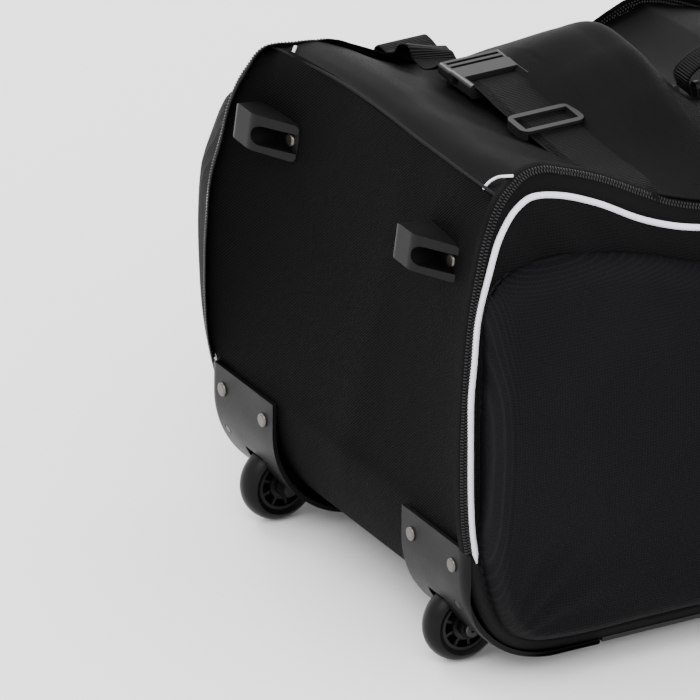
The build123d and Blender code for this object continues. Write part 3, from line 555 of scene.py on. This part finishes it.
def pocket_out(x, z, side, edge=None):
    """How far out the stuffed pocket stands."""
    edge = reach(x, z, pocket_line(side)) if edge is None else edge
    soft = 9 + 9 * np.clip((z - 300) / 60, 0, 1) + 7 * np.clip((90 - z) / 40, 0, 1)
    rise = np.sqrt(1 - (1 - np.clip(edge / soft, 0, 1)) ** 2)
    tops = np.array(POCKET_TOP, float)
    bulge = np.array(POCKET_BULGE, float)
    share = (z - 37) / (np.interp(np.abs(x), tops[:, 0], tops[:, 1]) - 37)
    ends = spline(bulge[:, 0], bulge[:, 1], share)
    ends = np.maximum(ends, 0.8 * np.exp(-((np.abs(x)) / 230) ** 6))
    depth = 46 * ends * (1 - 0.06 * np.exp(-(np.abs(x) / 250) ** 2)) + 1.3 * ruffle(x, z, 48, 5)
    corner = np.hypot(np.abs(x) - 400, z - 50)
    turn = np.arctan2(z - 50, 400 - np.abs(x))
    rays = 1.5 * np.sin(turn * 13 + corner / 40) * np.exp(-((corner - 70) / 50) ** 2)
    fold = (np.abs(x) - 235) * 0.72 + (z - 345) * 0.7
    drape = 3.0 * np.exp(-(fold / 13) ** 2) * np.exp(-((z - 330) / 55) ** 2)
    top = 1.0 * np.sin(x / 12 + np.sin(z / 17)) * np.exp(-((z - 372) / 22) ** 2)
    return wall(z) + 4 + depth * rise + (rays + top + drape) * np.clip(edge / 14, 0, 1)


def fill(loop, rows=70, spine=280, level=225.0):
    """Grid that fills an outline, from a line along its middle out to the edge."""
    centre = np.column_stack([np.clip(loop[:, 0], -spine, spine), np.full(len(loop), level)])
    r = 1 - (1 - np.linspace(0, 1, rows)) ** 1.35
    grid = centre[None] + (loop - centre)[None] * r[:, None, None]
    grid = np.concatenate([grid, grid[:, :1]], 1)
    return grid[..., 0], grid[..., 1]


def side_cloth(name, loop, out, side, finish, thick):
    """Cloth over one side of the bag."""
    x, z = fill(loop)
    points = np.stack([x, side * out(x, z, side), z], -1)
    uv = np.stack([x, z], -1)
    return panel(name, points, finish, thick, outward=-side * winding(loop), uv=uv, loop=True)


def winding(loop):
    """1 where an outline runs anticlockwise in x and z, or else -1."""
    x, z = loop[:, 0], loop[:, 1]
    turn = (x * np.roll(z, -1) - np.roll(x, -1) * z).sum()
    return 1 if turn > 0 else -1


# The shell: ends, base and top

def beside_bezel(centre):
    """Which faces of the handle end's cloth lie outside the opening for the telescopic handle."""
    return ~((np.abs(centre[:, 1]) < 112) & (centre[:, 2] < 62) & (centre[:, 0] > 380))


def build_shell():
    """Cloth of both ends, the base and the top."""
    wheel_end = panel("wheel_end_fabric", end_panel(END_ROWS, -1), SHELL, outward=-1)
    handle_end = panel("handle_end_fabric", end_panel(BACK_ROWS, 1), SHELL, keep=beside_bezel)
    x = np.linspace(-END + 148, END - 148, 60)[:, None] * np.ones((1, 90))
    s = np.linspace(-1, 1, 90)[None, :] * np.ones((60, 1))
    y = 212 * s
    z = 12 + 5 * np.abs(s) ** 14
    base = panel("base_fabric", np.stack([x, y, z], -1), SHELL, outward=-1)
    x = np.linspace(-END + 47, END - 47, 330)[:, None] * np.ones((1, 190))
    zipline, _ = zip_path(-1)
    half = np.interp(x[:, 0], zipline[:, 0], -zipline[:, 1]) - 3
    half[[0, -1]] = 198
    s = np.linspace(-1, 1, 190)
    y = half[:, None] * s
    z = top_height(x, y)
    d = END - np.abs(x)
    z += 1.1 * ruffle(x, y, 34, 9) * np.clip((d - 60) / 60, 0, 1)
    z -= 2.0 * np.exp(-((d - 52) / 7) ** 2) * (1 - np.abs(s[None, :]) ** 6)
    ridge = np.sin((y + 0.9 * d) / 17) * np.exp(-((d - 120) / 45) ** 2) * np.clip((60 - y) / 80, 0, 1)
    z += 1.5 * ridge
    top = panel("top_fabric", np.stack([x, y, z], -1), TOP, outward=1)
    for piece, node, cut, area, under in (
            (wheel_end, "wheel_end_panel", (0.44, 0.565), 0.236, "wheel_end_board"),
            (handle_end, "handle_end_panel", (0.44, 0.555), 0.232, "handle_end_board"),
            (base, "base_panel", (0.43, 0.56), 0.2385, "base_board"),
            (top, "top_panel", (0.43, 0.80), 0.333, "wheel_end_fabric")):
        add(piece, "body", node)
    for sign, name in ((-1, "wheel_end_welt"), (1, "handle_end_welt")):
        y = np.linspace(-199, 199, 160)
        x = np.full(160, sign * (END - 47.0))
        line = np.column_stack([x + sign * 1.0, y, top_height(x, y) + 0.8])
        add(sweep(name, line, np.array([sign * 0.6, 0, 0.8]), circle(1.5, 8), WELT), "body")


# Sides: flaps, pockets, piping and zippers

def spaced(path, outward, pitch, margin=0.0):
    """Points at a pitch along a path, leaving a margin at its ends, with the directions there."""
    along = lengths(path)
    at = np.linspace(margin, along[-1] - margin, int(along[-1] / pitch))
    centre = np.stack([np.interp(at, along, path[:, k]) for k in range(3)], -1)
    lift = unit(np.stack([np.interp(at, along, outward[:, k]) for k in range(3)], -1))
    return centre, *frames(centre, lift)


def teeth(name, path, outward, spread, pitch, size, finish):
    """Zipper coil: two rows of small rounded teeth along a path, of a size across, along and up."""
    centre, tangent, side, up = spaced(path, outward, pitch)
    shape = np.array([(a, b, c) for a in (-1, 1) for b in (-0.7, 0.7) for c in (-0.6, 0.35)], float)
    shape = np.vstack([shape, [(0, 0, 1.0), (-0.2, 0, 1.0)]])
    shape = shape * size
    hull = [(0, 1, 3, 2), (4, 6, 7, 5), (0, 2, 6, 4), (0, 4, 5, 1), (2, 3, 7, 6), (1, 5, 8, 9),
            (3, 9, 8, 7), (1, 9, 3), (5, 7, 8)]
    verts, faces = [], []
    for row in (-1, 1):
        shift = 0.5 * pitch * (row > 0)
        base = centre + side * row * spread + tangent * shift
        block = (base[:, None] + side[:, None] * shape[None, :, :1] + tangent[:, None] * shape[None, :, 1:2]
                 + up[:, None] * shape[None, :, 2:])
        start = sum(len(v) for v in verts)
        verts.append(block.reshape(-1, 3))
        for k in range(len(centre)):
            faces += [[start + k * len(shape) + i for i in face] for face in hull]
    verts = np.vstack(verts)
    return mesh(name, verts, faces, finish, verts[:, [0, 2]])


def stitches(name, path, outward, finish, pitch=4.0, length=2.8, radius=0.35):
    """Row of short thread stitches along a path."""
    centre, tangent, side, up = spaced(path, outward, pitch, pitch)
    verts, faces = [], []
    ring = circle(radius, 5)
    for k in range(len(centre)):
        start = len(verts)
        for t, low in ((-0.5, -0.5), (-0.25, 0.35), (0.25, 0.35), (0.5, -0.5)):
            spot = centre[k] + tangent[k] * t * length + up[k] * low * radius * 2
            verts += [spot + side[k] * a + up[k] * b for a, b in ring]
        for i in range(3):
            faces += [[start + i * 5 + j, start + i * 5 + (j + 1) % 5, start + i * 5 + 5 + (j + 1) % 5,
                       start + i * 5 + 5 + j] for j in range(5)]
    verts = np.array(verts)
    return mesh(name, verts, faces, finish, verts[:, [0, 2]])


def flap_and_pocket(side, word, body):
    """Cloth of a side flap, and of the stuffed pocket on it."""
    flap = side_cloth("flap_fabric_" + word, flap_line(side), flap_out, side, SIDE, 2.2)
    add(flap, body, "flap_panel_" + word)
    pocket = side_cloth("pocket_fabric_" + word, pocket_line(side), pocket_out, side, POCKET, 1.8)
    add(pocket, body, "pocket_" + word)


def white_piping(side, word, body):
    """White piping round a flap, thinner at its ends."""
    path, outward = piping_path(side)
    step = np.arange(len(path))
    taper = np.minimum(1, 0.25 + np.minimum(step, step[::-1]) / 9)
    piping = sweep("piping_" + word, path, outward, circle(2.9, 12), PIPING, taper)
    add(piping, body, "flap_piping_" + word)


def rolled_edge(side, word, body):
    """Soft rolled band round the bottom of a flap, with two cords along it."""
    line = path_through(both_ends([(12.5, 152), (13.5, 136)] + FOOT_LINE), 520)
    for name, inset, radius in (("flap_cord_", 0.0, 1.7), ("flap_inner_cord_", 6.0, 1.3)):
        x = line[:, 0] * (1 - inset / 426)
        z = line[:, 1] + inset * np.clip((400 - np.abs(x)) / 60, 0.35, 1)
        y = side * (flap_out(x, z, side) + 0.6)
        path = np.column_stack([x, y, z])
        cord = sweep(name + word, path, np.array([0, side, -0.2]), circle(radius, 8), WELT)
        add(cord, body)
    centre = np.column_stack([np.clip(line[:, 0], -300, 300), np.full(len(line), float(PIVOT_Z))])
    away = unit(line[:, :2] - centre)
    turn = np.linspace(-0.3, 0.5 * math.pi, 9)
    section = [(1.25 * math.sin(t), 1 - math.cos(t)) for t in turn] + [(1.2, 1.7), (1.1, 2.6)]
    r = ROLL_R * np.clip((154 - line[:, 1]) / 36, 0.1, 1) ** 0.7
    rows = [np.column_stack([line[:, 0] + away[:, 0] * r * out,
                             side * (wall(line[:, 1]) + 1.6 - r * inward),
                             line[:, 1] + away[:, 1] * r * out]) for out, inward in section]
    # The band wears the lighter roll cloth, which paints on the highlight it catches.
    roll = panel("flap_roll_" + word, np.stack(rows, 1), ROLL_PAINTED_LIGHT, 1.2, outward=side)
    add(roll, body)


def pocket_rim(side, word, body):
    """Welt round the pocket."""
    loop = pocket_line(side)
    edge = np.vstack([loop, loop[:2]])
    ring = np.column_stack([edge[:, 0], side * (wall(edge[:, 1]) + 5.2), edge[:, 1]])
    rim = sweep("pocket_welt_" + word, ring, np.array([0, side, 0.01]), circle(1.9, 8), WELT)
    add(rim, body)


def flap_zipper(side, word):
    """Tape from the zipper out to the piping and in under the top, and the coil on it."""
    path, _ = piping_path(side)
    zpath, zout = zip_path(side)
    nearest = path[np.argmin(((zpath[:, None] - path[None]) ** 2).sum(-1), 1)]
    _, across, up = frames(zpath, zout)
    toward = -side * across
    rows = [zpath - toward * 9 - up * 2.2, zpath - toward * 5 - up * 0.9, zpath - up * 0.6,
            zpath + (nearest - zpath) * 0.5 - up * 0.8, nearest - up * 1.5]
    tape = panel("zip_tape_" + word, np.stack(rows, 1), TAPE, 0.9, outward=side)
    add(tape, "body", "flap_zipper_" + word)
    coil = teeth("zip_coil_" + word, zpath, zout, 1.7, 2.9, (1.7, 0.95, 1.5), COIL)
    add(coil, "body")


def pocket_zipper(side, word, body):
    """Tape, coil and two rows of stitches of the pocket's zipper."""
    x = np.linspace(-POCKET_ZIP_HALF, POCKET_ZIP_HALF, 300)
    z = np.full(300, float(POCKET_ZIP_Z))

    def row(dz, out):
        return np.column_stack([x, side * (pocket_out(x, z + dz, side) + out), z + dz])

    rows = [row(dz, 2.6) for dz in (-7, -3.5, 0, 3.5, 7)]
    band = panel("pocket_zip_tape_" + word, np.stack(rows, 1), TAPE, 0.9, outward=side)
    add(band, body, "pocket_zipper_" + word)
    line = rows[2] + np.array([0, side * 0.8, 0])
    outward = np.broadcast_to([0, side, 0.0], line.shape)
    coil = teeth("pocket_zip_coil_" + word, line, outward, 1.5, 2.9, (1.5, 0.95, 1.1), COIL)
    add(coil, body)
    for level, dz in (("low", -9.5), ("high", 9.5)):
        add(stitches(f"pocket_stitch_{level}_{word}", row(dz, 1.2), outward, THREAD), body)


def build_side(side, word):
    """Everything on one side of the bag."""
    body = "flap_" + word
    flap_and_pocket(side, word, body)
    white_piping(side, word, body)
    rolled_edge(side, word, body)
    pocket_rim(side, word, body)
    flap_zipper(side, word)
    pocket_zipper(side, word, body)


ACCENT = [(46, 449, 168), (51, 456, 171), (56, 461, 176), (59, 464, 183), (63, 466, 189)]  # d, z, y


def corner_accents():
    """Short white piping at each top corner, where the zipper turns."""
    for sign, end in ((-1, "wheel"), (1, "handle")):
        for side, word in ((-1, "near"), (1, "far")):
            d, z, y = np.array(ACCENT if side < 0 else ACCENT[:3], float).T
            line = np.column_stack([sign * (END - d), side * y, z - far_drop(d, side)])
            lift = np.array([0, side * 0.3, 1.0])
            accent = sweep(f"corner_piping_{end}_{word}", path_through(line, 40), lift,
                           circle(1.6, 10, 0.8), PIPING)
            add(accent, "body")


# Webbing and handles

def webbing(name, points, width, thick, across, tilt=None):
    """Strap whose width stays along one direction, or tips by an angle at each path point."""
    path = path_through(np.array(points, float), 90)
    across = np.broadcast_to(np.array(across, float), path.shape)
    if tilt is not None:
        angle = np.interp(np.linspace(0, 1, 90), *np.array(tilt, float).T)[:, None]
        across = across * np.cos(angle) - np.array([0, 0, 1.0]) * np.sin(angle)
    lift = np.cross(across, unit(np.gradient(path, axis=0)))
    return sweep(name, path, lift, strip_section(width, thick), WEBBING)


STRAP_NEAR = [  # y, z, from the near zipper up and round the bar in the buckle
    (-203, 408), (-197, 419), (-184, 425.5), (-130, 427.5), (-80, 430.2), (-46, 432.3), (-21, 433.4),
    (2, 435.5), (26, 438.4), (45, 438.4), (49.5, 434), (45, 429), (36, 428)]
STRAP_FAR = [  # y, z, from the buckle over a loose fold to the far zipper
    (80, 434), (86, 439), (96, 435), (110, 424), (126, 415), (143, 414), (157, 421), (167, 419), (176, 411),
    (188, 409), (202, 410), (211, 402), (210, 384)]
STRAP_TILT = [  # share of its length, how far the fold tips, in radians
    (0, 0), (0.12, 0), (0.4, 0.24), (0.52, 0.36), (0.62, 0.25), (0.75, 0), (1, 0)]


def build_straps():
    """Lash straps over the top, one at each end."""
    for sign, word in ((-1, "front"), (1, "rear")):
        x = sign * STRAP_X
        near = [(x, *point) for point in STRAP_NEAR]
        far = [(x, *point) for point in STRAP_FAR]
        strap = webbing("strap_near_web_" + word, near, 50, 1.8, (-1, 0, 0))
        add(strap, "body", "strap_near_" + word)
        strap = webbing("strap_far_web_" + word, far, 48, 1.8, (1, 0, 0), STRAP_TILT)
        add(strap, "body", "strap_far_" + word)
        line = path_through(near[1:5], 60) + np.array([-21, 0, 1.0])
        outward = np.broadcast_to([0, 0, 1.0], line.shape)
        add(stitches("strap_stitch_" + word, line, outward, THREAD), "body")


HAUL_ARCH = [  # x, y, z
    (-80, 0, HAUL_Z), (-84, 0, HAUL_Z + 14), (-72, 0, 433), (-45, 0, 442), (0, 0, 444.5), (45, 0, 442),
    (72, 0, 433), (84, 0, HAUL_Z + 14), (80, 0, HAUL_Z)]
GRAB_ARCH = [
    (417, -70, 330), (419, -76, 312), (418, -68, 286), (417, -40, 272), (417, 0, 269), (417, 40, 272),
    (418, 68, 286), (419, 76, 312), (417, 70, 330)]


def handle_pad(name, path, lift, width, height):
    """Padding round a handle's webbing, drawn in at both ends."""
    turn = np.arange(20) * 2 * math.pi / 20
    across = width * np.sign(np.cos(turn)) * np.abs(np.cos(turn)) ** 0.7
    size = 1 - 0.35 * (np.abs(np.linspace(-1, 1, len(path))) ** 8)
    section = np.stack([across, height * np.sin(turn)], -1)
    return sweep(name, path, np.array(lift, float), section, GRIP, size)


def build_handles():
    """Carrying handles: a padded strap on the top and one on the handle end."""
    add(webbing("haul_web", HAUL_ARCH, 26, 2.4, (0, 1, 0)), "haul_handle", "haul_handle")
    path = path_through(HAUL_ARCH[2:7], 60)
    path = path[np.abs(path[:, 0]) < 62]
    add(handle_pad("haul_pad", path, (0, 0, 1), 12.5, 6.0), "haul_handle")
    lift = np.array([1.0, 0, 0])
    grab = sweep("grab_web", path_through(GRAB_ARCH, 90), lift, strip_section(20, 2.4), WEBBING)
    add(grab, "grab_handle", "grab_handle")
    path = path_through(GRAB_ARCH[3:6], 50)
    add(handle_pad("grab_pad", path, lift, 12.5 * 0.75, 6.0 * 0.95), "grab_handle")


build_shell()
for side, word in ((-1, "near"), (1, "far")):
    build_side(side, word)
corner_accents()
build_straps()
build_handles()


# Studio

def light(name, place, target, size, power):
    """Soft rectangular light in metres and watts, turned towards a target."""
    lamp = bpy.data.lights.new(name, "AREA")
    lamp.shape = "RECTANGLE"
    lamp.size, lamp.size_y = size
    lamp.energy = power
    item = bpy.data.objects.new(name, lamp)
    item.location = place
    item.rotation_mode = "QUATERNION"
    item.rotation_quaternion = (Vector(target) - Vector(place)).to_track_quat("-Z", "Y")
    bpy.context.scene.collection.objects.link(item)


def studio():
    """Pale floor, even white surroundings and three soft lights."""
    floor_finish = Finish("floor", (0.86, 0.86, 0.86), 0.9, 0.1)
    floor_finish.tint(floor_finish.noise(1.0), 0.99, 1.01)
    across = np.linspace(-9000, 9000, 12)
    x, y = np.meshgrid(across, across, indexing="ij")
    points = np.stack([x, y, np.full_like(x, -0.5)], -1).reshape(-1, 3)
    floor = mesh("floor", points, cells(len(across), len(across)), floor_finish.mat)
    world = bpy.data.worlds.new("studio")
    world.use_nodes = True
    background = world.node_tree.nodes["Background"]
    background.inputs["Color"].default_value = (1, 1, 1, 1)
    background.inputs["Strength"].default_value = 2.0
    bpy.context.scene.world = world
    light("key", (-2.2, -1.6, 3.2), (0, 0, 0.2), (2.4, 2.4), 110)
    light("back", (-0.6, 2.6, 2.6), (-0.2, 0, 0.3), (2.0, 1.2), 90)
    light("side", (0.4, -3.4, 1.6), (0, 0, 0.25), (2.0, 1.6), 30)


def camera():
    """Long lens from the wheel end's left, above."""
    a, e, roll = math.radians(-30.006), math.radians(25.438), math.radians(0.542)
    right = Vector((math.cos(a), math.sin(a), 0))
    back = Vector((math.sin(a) * math.cos(e), -math.cos(a) * math.cos(e), math.sin(e)))
    up = back.cross(right)
    r = right * math.cos(roll) + up * math.sin(roll)
    u = up * math.cos(roll) - right * math.sin(roll)
    place = Vector((-0.300, 0, 0.250)) + back * 23.670 + r * -0.099407 + u * -0.038965
    lens = bpy.data.cameras.new("camera")
    lens.sensor_width = 36
    lens.lens = 1400
    lens.clip_start, lens.clip_end = 1, 80
    item = bpy.data.objects.new("camera", lens)
    rows = [(r[k], u[k], back[k], place[k]) for k in range(3)]
    item.matrix_world = Matrix((*rows, (0, 0, 0, 1)))
    bpy.context.scene.collection.objects.link(item)
    bpy.context.scene.camera = item


studio()
camera()
